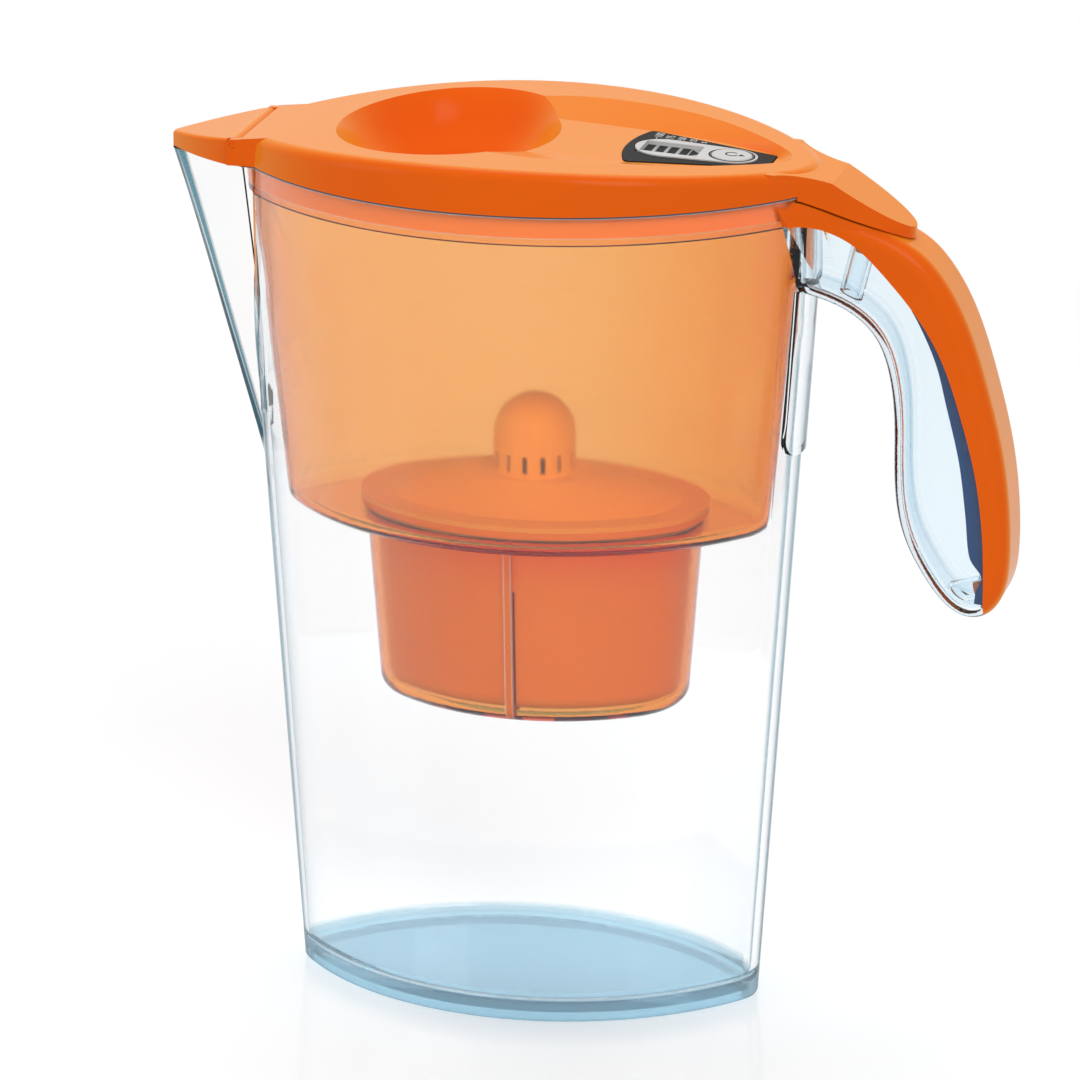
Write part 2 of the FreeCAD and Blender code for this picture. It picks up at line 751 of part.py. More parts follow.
def tab_solid(inset):
    """The thumb tab: a neck that slopes off the crown, a steeper slope to the end, and the handle's line under it."""
    start = rim_half_length - root_back
    neck_start = rim_half_length - tab_neck
    flat_end = rim_half_length + tab_flat
    end = rim_half_length + tab_length
    top = [Vector(start, 0, crown_z(start) - cover_gap - inset), Vector(neck_start, 0, crown_z(neck_start) - inset),
           Vector(flat_end, 0, crown_height - tab_flat_drop - inset),
           Vector(end + slip, 0, crown_height - tab_end_drop - inset)]
    low = rim_height - handle_drop / 2
    if inset:
        under = [Vector(start, 0, low), Vector(end + slip, 0, low)]
    else:
        under = crest_line(cover_gap)
    side = slab(Part.Face(polygon(top + list(reversed(under)))), rim_half_length)
    tab = prism(tab_plan(inset, low), crown_height - low).common(side)
    return tab if inset else tab.cut(jug_solid(-slip, low, rim_height))


def make_lid_blank():
    blank = lid_prism(0, rim_height, crown_height + overrun).common(under_crown(0, rim_height - overrun))
    top_edges = edges_where(blank, lambda edge: edge.BoundBox.ZMin > rim_height + lid_edge_round and
                            edge.BoundBox.YLength + edge.BoundBox.XLength > overrun)
    blank = blank.makeFillet(lid_edge_round, top_edges)
    neck = box(seam_x - overrun, seam_x + neck_length, -neck_half_width, neck_half_width, rim_height,
               crown_height + overrun).common(under_crown(0, rim_height - overrun))
    past_seam = box(-crown_length, seam_x, -crown_length, crown_length, 0, crown_height + overrun)
    return blank.fuse([neck, tab_solid(0)]).cut(past_seam)


# Hinge places: the spout flap's at the seam, the fill flap's under the bowl's floor
flap_axis = Vector(seam_x - barrel_radius, 0, crown_height - seam_drop - barrel_radius)
bowl_floor_height = crown_height - bowl_depth
bowl_floor_low = bowl_floor_height - lid_wall
shutter_axis = Vector(bowl_centre + fill_hole_half_length + shutter_hinge_offset, 0,
                      bowl_floor_low - snug - shutter_barrel_radius)
flap_half_width = neck_half_width - ear_width - slip
shutter_hinge_half_width = fill_hole_half_width - shutter_ear_width - slip


def bezel_plan(inset, height):
    """The indicator's outline: a bowed wide end, straight tapering sides and a cut narrow end."""
    left = -bezel_length / 2 + inset
    right = bezel_length / 2 - inset
    wide = bezel_wide_half_width - inset
    narrow = bezel_narrow_half_width - inset
    bow = Part.Arc(Vector(left, wide, height), Vector(left - bezel_bulge, 0, height),
                   Vector(left, -wide, height)).toShape()
    sides = Part.makePolygon([Vector(left, -wide, height), Vector(right, -narrow, height),
                              Vector(right, narrow, height), Vector(left, wide, height)])
    return Part.Wire([bow] + sides.Edges)


def bezel_block(inset, low, high):
    block = prism(bezel_plan(inset, low), high - low)
    uprights = edges_where(block, lambda edge: edge.BoundBox.ZLength > (high - low) / 2 and
                           edge.BoundBox.XLength < slip and edge.BoundBox.YLength < slip)
    return block.makeFillet(bezel_corner, uprights)


def make_lid():
    """The lid's shell with its bowl, facet, plug rim and hinge ears."""
    void = lid_prism(lid_wall, rim_height - overrun, crown_height).common(
        under_crown(lid_wall, rim_height - overrun - overrun))
    void = void.cut(box(-crown_length, seam_x + lid_wall, -crown_length, crown_length, 0, crown_height))
    below_crown = under_crown(0, bowl_floor_low - overrun)
    bowl_shell = bowl_space(lid_wall).common(below_crown)
    trough_shell = on_facet(trough(lid_wall, -facet_skin, facet_rise - lid_wall)).common(below_crown).common(
        lid_prism(0, rim_height - overrun, crown_height))
    void = void.fuse(tab_solid(tab_wall)).cut([bowl_shell, trough_shell])
    shoulder = lid_prism(0, rim_height, rim_height + plug_wall)
    plug_inset = rim_wall + slip + collar_wall + slip
    plug = jug_solid(plug_inset, rim_height - plug_depth, rim_height + plug_wall)
    plug_inside = jug_solid(plug_inset + plug_wall, rim_height - plug_depth - overrun,
                            rim_height + plug_wall + overrun)
    keep = box(seam_x, crown_length, -crown_length, crown_length, 0, crown_height)
    rim_ring = shoulder.fuse(plug).cut(plug_inside).common(keep)
    trough_cut = on_facet(trough(0, 0, facet_rise))
    recess = on_facet(bezel_block(-snug, -bezel_skin, overrun))
    opening = on_facet(bezel_block(bezel_lip, -facet_skin - overrun, overrun))
    fill_hole = box(bowl_centre - fill_hole_half_length, bowl_centre + fill_hole_half_length,
                    -fill_hole_half_width, fill_hole_half_width, bowl_floor_low - overrun, crown_height)
    seam_clear = rod(barrel_radius + slip, flap_axis - Vector(0, flap_half_width + slip, 0),
                     flap_axis + Vector(0, flap_half_width + slip, 0))
    seam_gap = box(seam_x - overrun, seam_x + flap_seam / 2, -flap_half_width - slip, flap_half_width + slip,
                   0, crown_height)
    lid = make_lid_blank().cut(void).fuse([bowl_shell, rim_ring])
    lid = lid.cut([bowl_space(0), trough_cut, recess, opening, fill_hole, seam_clear, seam_gap])
    ears = []
    for side in (-1, 1):
        inner_y = flap_half_width + slip
        outer_y = neck_half_width
        low_y, high_y = sorted([side * inner_y, side * outer_y])
        ear = rod(barrel_radius, Vector(flap_axis.x, low_y, flap_axis.z), Vector(flap_axis.x, high_y, flap_axis.z))
        arm = box(flap_axis.x, seam_x + lid_wall, low_y, high_y, flap_axis.z - barrel_radius,
                  flap_axis.z + barrel_radius)
        cheek = box(flap_axis.x - barrel_radius, seam_x + lid_wall, low_y, high_y, rim_height, flap_axis.z)
        ears.append(ear.fuse([arm, cheek]))
        low_y, high_y = sorted([side * (shutter_hinge_half_width + slip), side * (fill_hole_half_width)])
        ear = rod(shutter_barrel_radius, Vector(shutter_axis.x, low_y, shutter_axis.z),
                  Vector(shutter_axis.x, high_y, shutter_axis.z))
        post = box(shutter_axis.x - shutter_barrel_radius, shutter_axis.x + shutter_barrel_radius, low_y, high_y,
                   shutter_axis.z, bowl_floor_low + lid_wall / 2)
        ears.append(ear.fuse(post))
    pin_reach = Vector(0, neck_half_width + overrun, 0)
    flap_bore = rod(pin_radius + pin_clearance, flap_axis - pin_reach, flap_axis + pin_reach)
    shutter_reach = Vector(0, fill_hole_half_width + slip, 0)
    shutter_bore = rod(shutter_pin_radius + pin_clearance, shutter_axis - shutter_reach,
                       shutter_axis + shutter_reach)
    return lid.fuse(ears).cut([flap_bore, shutter_bore])


def make_spout_flap():
    """The pointed flap over the spout: a shell with a hinge barrel and two stub pins."""
    low = rim_height - spout_rim_drop + slip
    top = crown_height - seam_drop
    tip_x = -(rim_half_length + spout_reach)

    def pointed(inset, base):
        back = flap_axis.x
        touch = math.radians(flap_tip_angle)
        tip_back = tip_x + flap_tip_radius * (1 - math.cos(touch)) + inset
        side_y = neck_half_width - slip - inset
        tip_y = (flap_tip_radius - inset / 2) * math.sin(touch)
        middle_x = (back + tip_back) / 2
        middle_y = (side_y + tip_y) / 2 + flap_bow
        far = Part.Arc(Vector(back, side_y, base), Vector(middle_x, middle_y, base),
                       Vector(tip_back, tip_y, base)).toShape()
        near = Part.Arc(Vector(back, -side_y, base), Vector(middle_x, -middle_y, base),
                        Vector(tip_back, -tip_y, base)).toShape()
        tip = Part.Arc(Vector(tip_back, tip_y, base), Vector(tip_x + inset, 0, base),
                       Vector(tip_back, -tip_y, base)).toShape()
        back_edge = Part.makeLine(Vector(back, side_y, base), Vector(back, -side_y, base))
        return side_face([far, tip, near, back_edge])

    def side(inset):
        high = top - inset
        tip_high = low + flap_tip_height - inset
        return slab(Part.Face(polygon([Vector(flap_axis.x, 0, low - (overrun if inset else 0)),
                                       Vector(flap_axis.x, 0, high),
                                       Vector(tip_x - overrun, 0, tip_high),
                                       Vector(tip_x - overrun, 0, low - (overrun if inset else 0))])),
                    neck_half_width + overrun)

    up = Vector(0, 0, overrun + overrun + overrun)
    body = pointed(0, low - overrun).extrude(up).common(side(0))
    top_edges = edges_where(body, lambda edge: edge.BoundBox.ZMin > low + flap_tip_height / 2 and
                            edge.BoundBox.XLength > slip)
    body = body.makeFillet(flap_edge_round, top_edges)
    hollow = pointed(flap_wall, low - overrun).extrude(up).common(side(flap_wall))
    notch_x = flap_axis.x - barrel_radius - slip
    notches = [box(notch_x, seam_x + overrun, low_y, high_y, 0, crown_height) for low_y, high_y in (
        (-neck_half_width - overrun, -flap_half_width), (flap_half_width, neck_half_width + overrun))]
    barrel = rod(barrel_radius, flap_axis - Vector(0, flap_half_width, 0), flap_axis + Vector(0, flap_half_width, 0))
    reach = Vector(0, flap_half_width + slip + pin_length, 0)
    pin = rod(pin_radius, flap_axis - reach, flap_axis + reach)
    return body.cut([hollow] + notches).fuse([barrel, pin])


def make_fill_flap():
    """The shutter under the bowl: a plate, a stiffening rib and a barrel with two stub pins."""
    top = bowl_floor_low - snug
    low = top - shutter_thickness
    free_end = bowl_centre - fill_hole_half_length - shutter_lap
    wide_end = bowl_centre + fill_hole_half_length - shutter_lap
    half_width = fill_hole_half_width + shutter_lap
    plate = box(free_end, wide_end, -half_width, half_width, low, top)
    plate = plate.makeFillet(shutter_lap, edges_where(plate, lambda edge: edge.BoundBox.ZLength > slip and
                                                      edge.BoundBox.Center.x < bowl_centre))
    arm = box(wide_end - shutter_lap, shutter_axis.x, -shutter_hinge_half_width, shutter_hinge_half_width,
              low, top)
    barrel = rod(shutter_barrel_radius, shutter_axis - Vector(0, shutter_hinge_half_width, 0),
                 shutter_axis + Vector(0, shutter_hinge_half_width, 0))
    reach = Vector(0, fill_hole_half_width, 0)
    pin = rod(shutter_pin_radius, shutter_axis - reach, shutter_axis + reach)
    ribs = [box(free_end + shutter_lap, shutter_axis.x, y - shutter_thickness / 2, y + shutter_thickness / 2,
                low - shutter_rib_height, low) for y in (-half_width / 2, half_width / 2)]
    return plate.fuse([arm, barrel, pin] + ribs)


# Indicator: built level about its own centre, top face at zero, then seated on the facet
face_top = bezel_proud + face_proud
face_low = face_top - face_thickness
lcd_top = face_low
lcd_low = lcd_top - lcd_thickness
board_top = -board_drop
board_low = board_top - board_thickness
cell_top = board_low - clip_thickness
cell_low = cell_top - cell_thickness
housing_low = -housing_depth
board_inset = bezel_lip + housing_wall + slip


def stadium(half_left, half_right, length, centre_x, low, high):
    """A flat pill that narrows towards +X, with round ends."""
    left = centre_x - length / 2 + half_left
    right = centre_x + length / 2 - half_right
    lean = math.asin((half_left - half_right) / (right - left))
    far_left = Vector(left + half_left * math.sin(lean), half_left * math.cos(lean), low)
    far_right = Vector(right + half_right * math.sin(lean), half_right * math.cos(lean), low)
    near_left = Vector(far_left.x, -far_left.y, low)
    near_right = Vector(far_right.x, -far_right.y, low)
    edges = [Part.Arc(near_left, Vector(left - half_left, 0, low), far_left).toShape(),
             Part.makeLine(far_left, far_right),
             Part.Arc(far_right, Vector(right + half_right, 0, low), near_right).toShape(),
             Part.makeLine(near_right, near_left)]
    return prism(Part.Wire(edges), high - low)


def face_plate(inset, low, high):
    return stadium(face_wide_half_width - inset, face_narrow_half_width - inset, face_length - 2 * inset,
                   face_shift, low, high)


def button_rod(radius, low, high):
    return rod(radius, Vector(button_shift, 0, low), Vector(button_shift, 0, high))


def window_box(grow, low, high):
    return box(window_shift - window_length / 2 - grow, window_shift + window_length / 2 + grow,
               -window_half_width - grow, window_half_width + grow, low, high)


def boss_places():
    """Where the three screws go: in both wide corners and in the middle of the narrow end."""
    wall_inset = bezel_lip + housing_wall + boss_radius * boss_clear_share
    wide_y = bezel_wide_half_width - wall_inset - bezel_corner
    wide_x = wall_inset - bezel_length / 2
    narrow_x = bezel_length / 2 - wall_inset
    return [Vector(wide_x, -wide_y, 0), Vector(wide_x, wide_y, 0), Vector(narrow_x, 0, 0)]


def at_level(point, height):
    return Vector(point.x, point.y, height)


def make_indicator():
    """All the indicator's pieces, level, as a dictionary of node name and shape."""
    flange_radius = button_radius + button_flange
    skin = bezel_block(0, -bezel_skin, bezel_proud)
    skin = skin.makeFillet(bezel_proud, edges_where(skin, at_height(bezel_proud)))
    outside = bezel_block(bezel_lip + snug, housing_low, -bezel_skin)
    hollow = bezel_block(bezel_lip + housing_wall, housing_low - overrun, -bezel_skin)
    posts = [rod(boss_radius, at_level(place, housing_low), at_level(place, -bezel_skin)).common(outside)
             for place in boss_places()]
    pilots = [rod(screw_radius, at_level(place, housing_low - overrun), at_level(place, housing_low + screw_length))
              for place in boss_places()]
    bezel = skin.fuse([outside.cut(hollow)] + posts)
    bezel = bezel.cut([face_plate(-snug, face_low, face_top + overrun), window_box(lcd_margin + snug, lcd_low, overrun),
                       window_box(0, -overrun, overrun),
                       button_rod(flange_radius + button_gap, -bezel_skin - overrun, overrun)] + pilots)
    face = face_plate(0, face_low, face_top)
    face = face.cut([window_box(0, face_low - overrun, face_top + overrun),
                     button_rod(button_radius + button_gap, face_low - overrun, face_top + overrun)])
    lcd = window_box(lcd_margin, lcd_low, lcd_top)
    strips = [box(window_shift - window_length / 2, window_shift + window_length / 2,
                  side * (window_half_width - strip_width) - strip_width / 2,
                  side * (window_half_width - strip_width) + strip_width / 2, board_top, lcd_low)
              for side in (-1, 1)]
    board = bezel_block(board_inset, board_low, board_top)
    notch = boss_radius + slip
    for place in boss_places():
        out_x = math.copysign(overrun, place.x)
        out_y = math.copysign(overrun, place.y) if place.y else 0
        board = board.cut(box(place.x - notch + min(out_x, 0), place.x + notch + max(out_x, 0),
                              place.y - notch + min(out_y, 0), place.y + notch + max(out_y, 0),
                              board_low - overrun, overrun))
    half_switch = switch_side / 2
    switch_top = face_low - button_flange - button_travel - slip
    plunger_low = board_top + (switch_top - board_top) / 2
    switch = box(button_shift - half_switch, button_shift + half_switch, -half_switch, half_switch,
                 board_top, plunger_low)
    switch = switch.fuse(button_rod(switch_plunger_radius, plunger_low, switch_top))
    button = button_rod(button_radius, face_low - button_flange, face_top + button_proud)
    button = button.makeFillet(button_gap + button_gap, edges_where(button, at_height(face_top + button_proud)))
    button = button.fuse(button_rod(flange_radius, face_low - button_flange, face_low - snug))
    cell_centre = Vector(cell_shift, 0, 0)
    cell = rod(cell_radius, at_level(cell_centre, cell_low), at_level(cell_centre, cell_top))
    clip_half = clip_width / 2
    clip_top = box(cell_shift - cell_radius, cell_shift + cell_radius, -clip_half, clip_half, cell_top, board_low)
    clip_side = box(cell_shift + cell_radius + snug, cell_shift + cell_radius + snug + clip_thickness,
                    -clip_half, clip_half, cell_low, board_low)
    clip_foot = box(cell_shift + cell_radius - clip_width, cell_shift + cell_radius + snug + clip_thickness,
                    -clip_half, clip_half, cell_low - clip_thickness, cell_low)
    clip_bridge = box(cell_shift, cell_shift + cell_radius + snug + clip_thickness, -clip_half, clip_half,
                      cell_top, board_low)
    clip = clip_top.fuse([clip_side, clip_foot, clip_bridge])
    seal_low = housing_low - cover_seal_thickness
    seal = bezel_block(bezel_lip + snug, seal_low, housing_low).cut(
        bezel_block(bezel_lip + snug + cover_seal_width, seal_low - overrun, overrun))
    cover = bezel_block(bezel_lip + snug, seal_low - cover_thickness, seal_low)
    screw_places = boss_places()
    pads = [rod(boss_radius * boss_clear_share, at_level(place, seal_low), at_level(place, housing_low))
            for place in screw_places]
    holes = [rod(screw_radius + snug, at_level(place, seal_low - overrun), at_level(place, 0))
             for place in screw_places]
    sinks = [rod(screw_head_radius + snug, at_level(place, seal_low - cover_thickness - overrun),
                 at_level(place, seal_low - cover_thickness + screw_head_height)) for place in screw_places]
    cover = cover.fuse(pads).cut(holes + sinks)
    screws = []
    for place in screw_places:
        head_low = seal_low - cover_thickness
        head = rod(screw_head_radius, at_level(place, head_low), at_level(place, head_low + screw_head_height))
        shank = rod(screw_radius, at_level(place, head_low), at_level(place, head_low + screw_length))
        slot_half = screw_radius / 2
        drive = box(place.x - screw_head_radius, place.x + screw_head_radius, place.y - slot_half / 2,
                    place.y + slot_half / 2, head_low - overrun, head_low + screw_head_height / 2)
        screws.append(head.fuse(shank).cut(drive))
    return {"indicator_bezel": bezel, "indicator_face": face, "lcd_panel": lcd,
            "lcd_contact_strips": Part.makeCompound(strips), "circuit_board": board, "tact_switch": switch,
            "indicator_button": button, "coin_cell": cell, "cell_clip": clip, "back_cover_seal": seal,
            "back_cover": cover, "back_cover_screws": Part.makeCompound(screws)}


def main():
    handle_grip, handle_cover = make_handle()
    cartridge_cup, cup_inside = make_cup()
    seal = cup_space(-seal_width, seat_top, flange_low).cut(cup_space(0, seat_top - overrun, flange_top))
    bed_low = cup_low + cup_wall + screen_thickness + bed_gap
    resin_top = bed_low + resin_depth
    carbon_top = flange_low - bed_space
    screen_low = carbon_top + bed_gap
    upper_screen = granules(cup_inside, screen_low, screen_low + screen_thickness)
    lower_screens = [rod(outlet_radius, Vector(well_centre + side * drain_spacing / 2, 0, cup_low + cup_wall),
                         Vector(well_centre + side * drain_spacing / 2, 0, cup_low + cup_wall + screen_thickness))
                     for side in (-1, 1)]
    nodes = {
        "jug_body": make_jug(),
        "handle_grip": handle_grip,
        "handle_cover": handle_cover,
        "hopper": make_tank(),
        "cartridge_cup": cartridge_cup,
        "cartridge_seal": seal,
        "cartridge_cap": make_cap(),
        "upper_screen": upper_screen,
        "carbon_bed": granules(cup_inside, resin_top + bed_gap, carbon_top),
        "resin_bed": granules(cup_inside, bed_low, resin_top),
        "lower_screens": Part.makeCompound(lower_screens),
        "lid_shell": make_lid(),
        "spout_flap": make_spout_flap(),
        "fill_flap": make_fill_flap()}
    for node, shape in make_indicator().items():
        nodes[node] = on_facet(shape)
    for node, shape in nodes.items():
        save(shape, node)
        volumes = [round(solid.Volume) for solid in shape.Solids]
        print(node, "valid" if shape.isValid() else "INVALID", volumes)


main()
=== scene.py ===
import bmesh
import bpy
import math
from mathutils import Matrix, Vector


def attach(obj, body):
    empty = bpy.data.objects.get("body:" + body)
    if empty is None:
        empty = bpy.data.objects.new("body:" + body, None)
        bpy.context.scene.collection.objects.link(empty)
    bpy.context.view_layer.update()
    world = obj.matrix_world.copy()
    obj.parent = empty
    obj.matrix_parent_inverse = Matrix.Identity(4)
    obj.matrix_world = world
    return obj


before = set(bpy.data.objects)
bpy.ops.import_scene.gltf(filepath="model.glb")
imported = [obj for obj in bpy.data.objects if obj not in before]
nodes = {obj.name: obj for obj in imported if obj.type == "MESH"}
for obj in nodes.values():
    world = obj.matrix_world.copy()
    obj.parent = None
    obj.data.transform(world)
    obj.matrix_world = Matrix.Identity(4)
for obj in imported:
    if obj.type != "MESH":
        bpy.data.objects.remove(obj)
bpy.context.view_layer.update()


# Jug shell. Crystal-clear styrene, injection moulded in one shot with its pointed spout, foot ring
# and rear pad. The 2.5 mm walls look white face on and turn teal where the eye looks along them.
# The thick floor is frosted and holds more of the tint, and the thin rim is painted as a dark line,
# painted shade of the gap under the lid.
def add(tree, kind, inputs=None, **settings):
    """A shader node with its settings; each input is a value or another node's output."""
    made = tree.nodes.new("ShaderNode" + kind)
    for key, value in settings.items():
        setattr(made, key, value)
    for key, value in (inputs or {}).items():
        if isinstance(value, bpy.types.NodeSocket):
            tree.links.new(value, made.inputs[key])
        else:
            made.inputs[key].default_value = value
    return made


def multiply(tree, first, second):
    return add(tree, "Math", {0: first, 1: second}, operation="MULTIPLY").outputs["Value"]


def subtract(tree, first, second):
    return add(tree, "Math", {0: first, 1: second}, operation="SUBTRACT").outputs["Value"]


def blend(tree, share, first, second, way="MIX"):
    made = add(tree, "MixRGB", {"Fac": share, "Color1": first, "Color2": second}, blend_type=way)
    return made.outputs["Color"]


def ramp(tree, value, low, high, start=0.0, end=1.0, **settings):
    """A value made start at its low end and end at its high end, and held there past them."""
    made = add(tree, "MapRange", {"Value": value, "From Min": low, "From Max": high, "To Min": start,
                                  "To Max": end}, **settings)
    return made.outputs["Result"]


def turned_away(tree, low, high):
    """0 where the surface is seen face on and 1 where it is seen along its side."""
    facing = add(tree, "LayerWeight", {"Blend": 0.5}).outputs["Facing"]
    return ramp(tree, facing, low, high, interpolation_type="SMOOTHSTEP")


def object_place(tree):
    return add(tree, "TexCoord").outputs["Object"]


def between_heights(tree, low, high, soft=0.0002):
    """1 between two heights of the object and 0 elsewhere, with soft ends."""
    height = add(tree, "SeparateXYZ", {"Vector": object_place(tree)}).outputs["Z"]
    rising = ramp(tree, height, low - soft, low + soft)
    falling = ramp(tree, height, high - soft, high + soft, 1.0, 0.0)
    return multiply(tree, rising, falling)


def start_material(name):
    material = bpy.data.materials.new(name)
    material.use_nodes = True
    return material, material.node_tree, material.node_tree.nodes["Principled BSDF"]


def moulded_skin(tree, shader, size, gloss, spread, depth):
    """A moulding's skin: fine texture, size across, that varies its gloss and stands depth high."""
    grain = add(tree, "TexNoise", {"Vector": object_place(tree), "Scale": 1 / size, "Detail": 3.0,
                                   "Roughness": 0.55}).outputs["Fac"]
    rough = ramp(tree, grain, low=0.3, high=0.7, start=gloss - spread, end=gloss + spread)
    bump = add(tree, "Bump", {"Height": grain, "Distance": depth, "Strength": 1.0})
    tree.links.new(rough, shader.inputs["Roughness"])
    tree.links.new(bump.outputs["Normal"], shader.inputs["Normal"])


over_all = 1.0


def see_through(name, face, side, absorbed, density, size, gloss, spread, depth, lets_in,
                solid_colour, solid_above):
    """See-through plastic, tinted by the light's way through it and along its sides.

    Above a height it is a solid colour. Past over_all there is nothing more of the pitcher.
    """
    material, tree, shader = start_material(name)
    moulded_skin(tree, shader, size, gloss, spread, depth)
    solid = between_heights(tree, solid_above, over_all)
    clear = subtract(tree, 1.0, solid)
    colour = blend(tree, turned_away(tree, low=0.48, high=0.92), face, side)
    tree.links.new(blend(tree, solid, colour, solid_colour), shader.inputs["Base Color"])
    tree.links.new(clear, shader.inputs["Transmission Weight"])
    shader.inputs["IOR"].default_value = 1.38
    lit_through = multiply(tree, add(tree, "LightPath").outputs["Is Shadow Ray"], clear)
    passing = add(tree, "BsdfTransparent", {"Color": lets_in}).outputs["BSDF"]
    mixed = add(tree, "MixShader", {0: lit_through, 1: shader.outputs["BSDF"], 2: passing})
    tint = add(tree, "VolumeAbsorption", {"Color": absorbed, "Density": density})
    end = tree.nodes["Material Output"]
    tree.links.new(mixed.outputs["Shader"], end.inputs["Surface"])
    tree.links.new(tint.outputs["Volume"], end.inputs["Volume"])
    return material


def finish_node(name, material):
    nodes[name].data.materials.clear()
    nodes[name].data.materials.append(material)


rim_height, rim_line = 0.238, 0.0005
white = (1, 1, 1, 1)
# The top of the rim, under the lid, is painted dark grey: painted shade of the gap between the lid and the
# collar.
painted_rim_shade = (0.05, 0.055, 0.065, 1)
clear_styrene = see_through("clear_styrene", face=white, side=(0.02, 0.17, 0.27, 1),
                            absorbed=(0.2, 0.65, 0.8, 1), density=5.0, size=0.030, gloss=0.012,
                            spread=0.010, depth=0.00004, lets_in=(0.99, 1.0, 1.0, 1),
                            solid_colour=painted_rim_shade, solid_above=rim_height - rim_line)
tree = clear_styrene.node_tree
shader = tree.nodes["Principled BSDF"]
colour = shader.inputs["Base Color"].links[0].from_socket
clear = shader.inputs["Transmission Weight"].links[0].from_socket

floor_colour, floor_frost = (0.55, 0.79, 0.91, 1), 0.35
floor_low, floor_top, floor_soft = -0.001, 0.0065, 0.0012
floor_part = between_heights(tree, floor_low, floor_top, floor_soft)
colour = blend(tree, 1.0, colour, blend(tree, floor_part, white, floor_colour), "MULTIPLY")
clear = subtract(tree, clear, multiply(tree, floor_part, floor_frost))
tree.links.new(clear, shader.inputs["Transmission Weight"])

# Walls seen along their side, from the foot to near the rim, turn dark teal: partly the styrene's own tint
# over its long way through, partly painted dark reflection.
edge_colour = (0.008, 0.09, 0.15, 1)
edge_low, edge_high, edge_soft = 0.0075, 0.188, 0.002
edge_part = multiply(tree, turned_away(tree, low=0.58, high=0.84),
                     between_heights(tree, edge_low, edge_high, edge_soft))
colour = blend(tree, edge_part, colour, edge_colour)

# The spout's end, from 152 mm up, is painted dark teal: painted dark reflection in its clear walls.
spout_colour = (0.010, 0.08, 0.125, 1)
spout_lean, spout_line, spout_line_soft = 0.2875, -0.0316, 0.0005
spout_foot, spout_foot_soft = 0.152, 0.003
along = add(tree, "VectorMath", {0: object_place(tree), 1: (1, 0, spout_lean)}, operation="DOT_PRODUCT")
spout_part = ramp(tree, along.outputs["Value"], spout_line - spout_line_soft, spout_line + spout_line_soft,
                  1.0, 0.0)
spout_part = multiply(tree, spout_part, between_heights(tree, spout_foot, over_all, spout_foot_soft))
tree.links.new(blend(tree, spout_part, colour, spout_colour), shader.inputs["Base Color"])
finish_node("jug_body", clear_styrene)


# Handle. The grip is a hollow half in clear styrene with peg sockets, moulded on the jug. The orange
# ABS cover closes it from outside and is pressed on by its two pegs. Both are smooth.
def coloured_plastic(name, colour, shade, size, gloss, spread, depth, shine=0.5, sheen=None):
    """Coloured plastic with faint flow shading under its skin, and a painted sheen: lighter colour where the
    surface is seen along its side.
    """
    material, tree, shader = start_material(name)
    moulded_skin(tree, shader, size, gloss, spread, depth)
    flow = add(tree, "TexNoise", {"Vector": object_place(tree), "Scale": 22.0, "Detail": 2.0}).outputs["Fac"]
    mixed = blend(tree, flow, colour, shade)
    if sheen:
        mixed = blend(tree, turned_away(tree, low=0.22, high=0.80), mixed, sheen)
    tree.links.new(mixed, shader.inputs["Base Color"])
    shader.inputs["IOR"].default_value = 1.5
    shader.inputs["Specular IOR Level"].default_value = shine
    return material


# The grip's top at the rim is painted the same dark grey, as painted shade under the lid.
grip_rim_line = 0.0004
# The orange is painted lighter and yellower where a surface is seen along its side: painted sheen for the
# light on the lid top and the cover.
orange_gloss = coloured_plastic("orange_gloss", (0.86, 0.128, 0.003, 1), (0.83, 0.115, 0.003, 1),
                                size=0.0012, gloss=0.20, spread=0.04, depth=0.0000012, shine=0.08,
                                sheen=(0.92, 0.285, 0.016, 1))
clear_grip = see_through("clear_grip", face=(0.91, 0.96, 0.985, 1), side=(0.14, 0.42, 0.62, 1),
                         absorbed=(0.2, 0.55, 0.75, 1), density=8.0, size=0.030, gloss=0.012,
                         spread=0.010, depth=0.00004, lets_in=(0.90, 0.96, 0.99, 1),
                         solid_colour=painted_rim_shade, solid_above=rim_height - grip_rim_line)
finish_node("handle_grip", clear_grip)
finish_node("handle_cover", orange_gloss)


# Grip strip. Painted shade and reflection of the clear grip's wall where it meets the cover: dark
# blue bands along the inner edge of the cover, one inside each wall of the grip. Each is a flat band
# that follows the edge and widens inwards, extruded across the handle.
def finished_piece(name, mesh, material, body):
    """A mesh in place, made an object that wears a material and rides on a body."""
    data = bpy.data.meshes.new(name)
    mesh.to_mesh(data)
    mesh.free()
    data.materials.append(material)
    made = bpy.data.objects.new(name, data)
    bpy.context.scene.collection.objects.link(made)
    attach(made, body)
    return made


def point_between(points, share):
    """The point at a share of the way along a smooth line through points."""
    place = share * (len(points) - 1)
    here = min(int(place), len(points) - 2)
    part = place - here
    before = points[max(here - 1, 0)]
    after = points[min(here + 2, len(points) - 1)]
    start, end = points[here], points[here + 1]
    return (start * 2 + (end - before) * part + (before * 2 - start * 5 + end * 4 - after) * part ** 2
            + (start * 3 - before - end * 3 + after) * part ** 3) / 2


def corners_of(parts):
    return [part for part in parts if isinstance(part, bmesh.types.BMVert)]


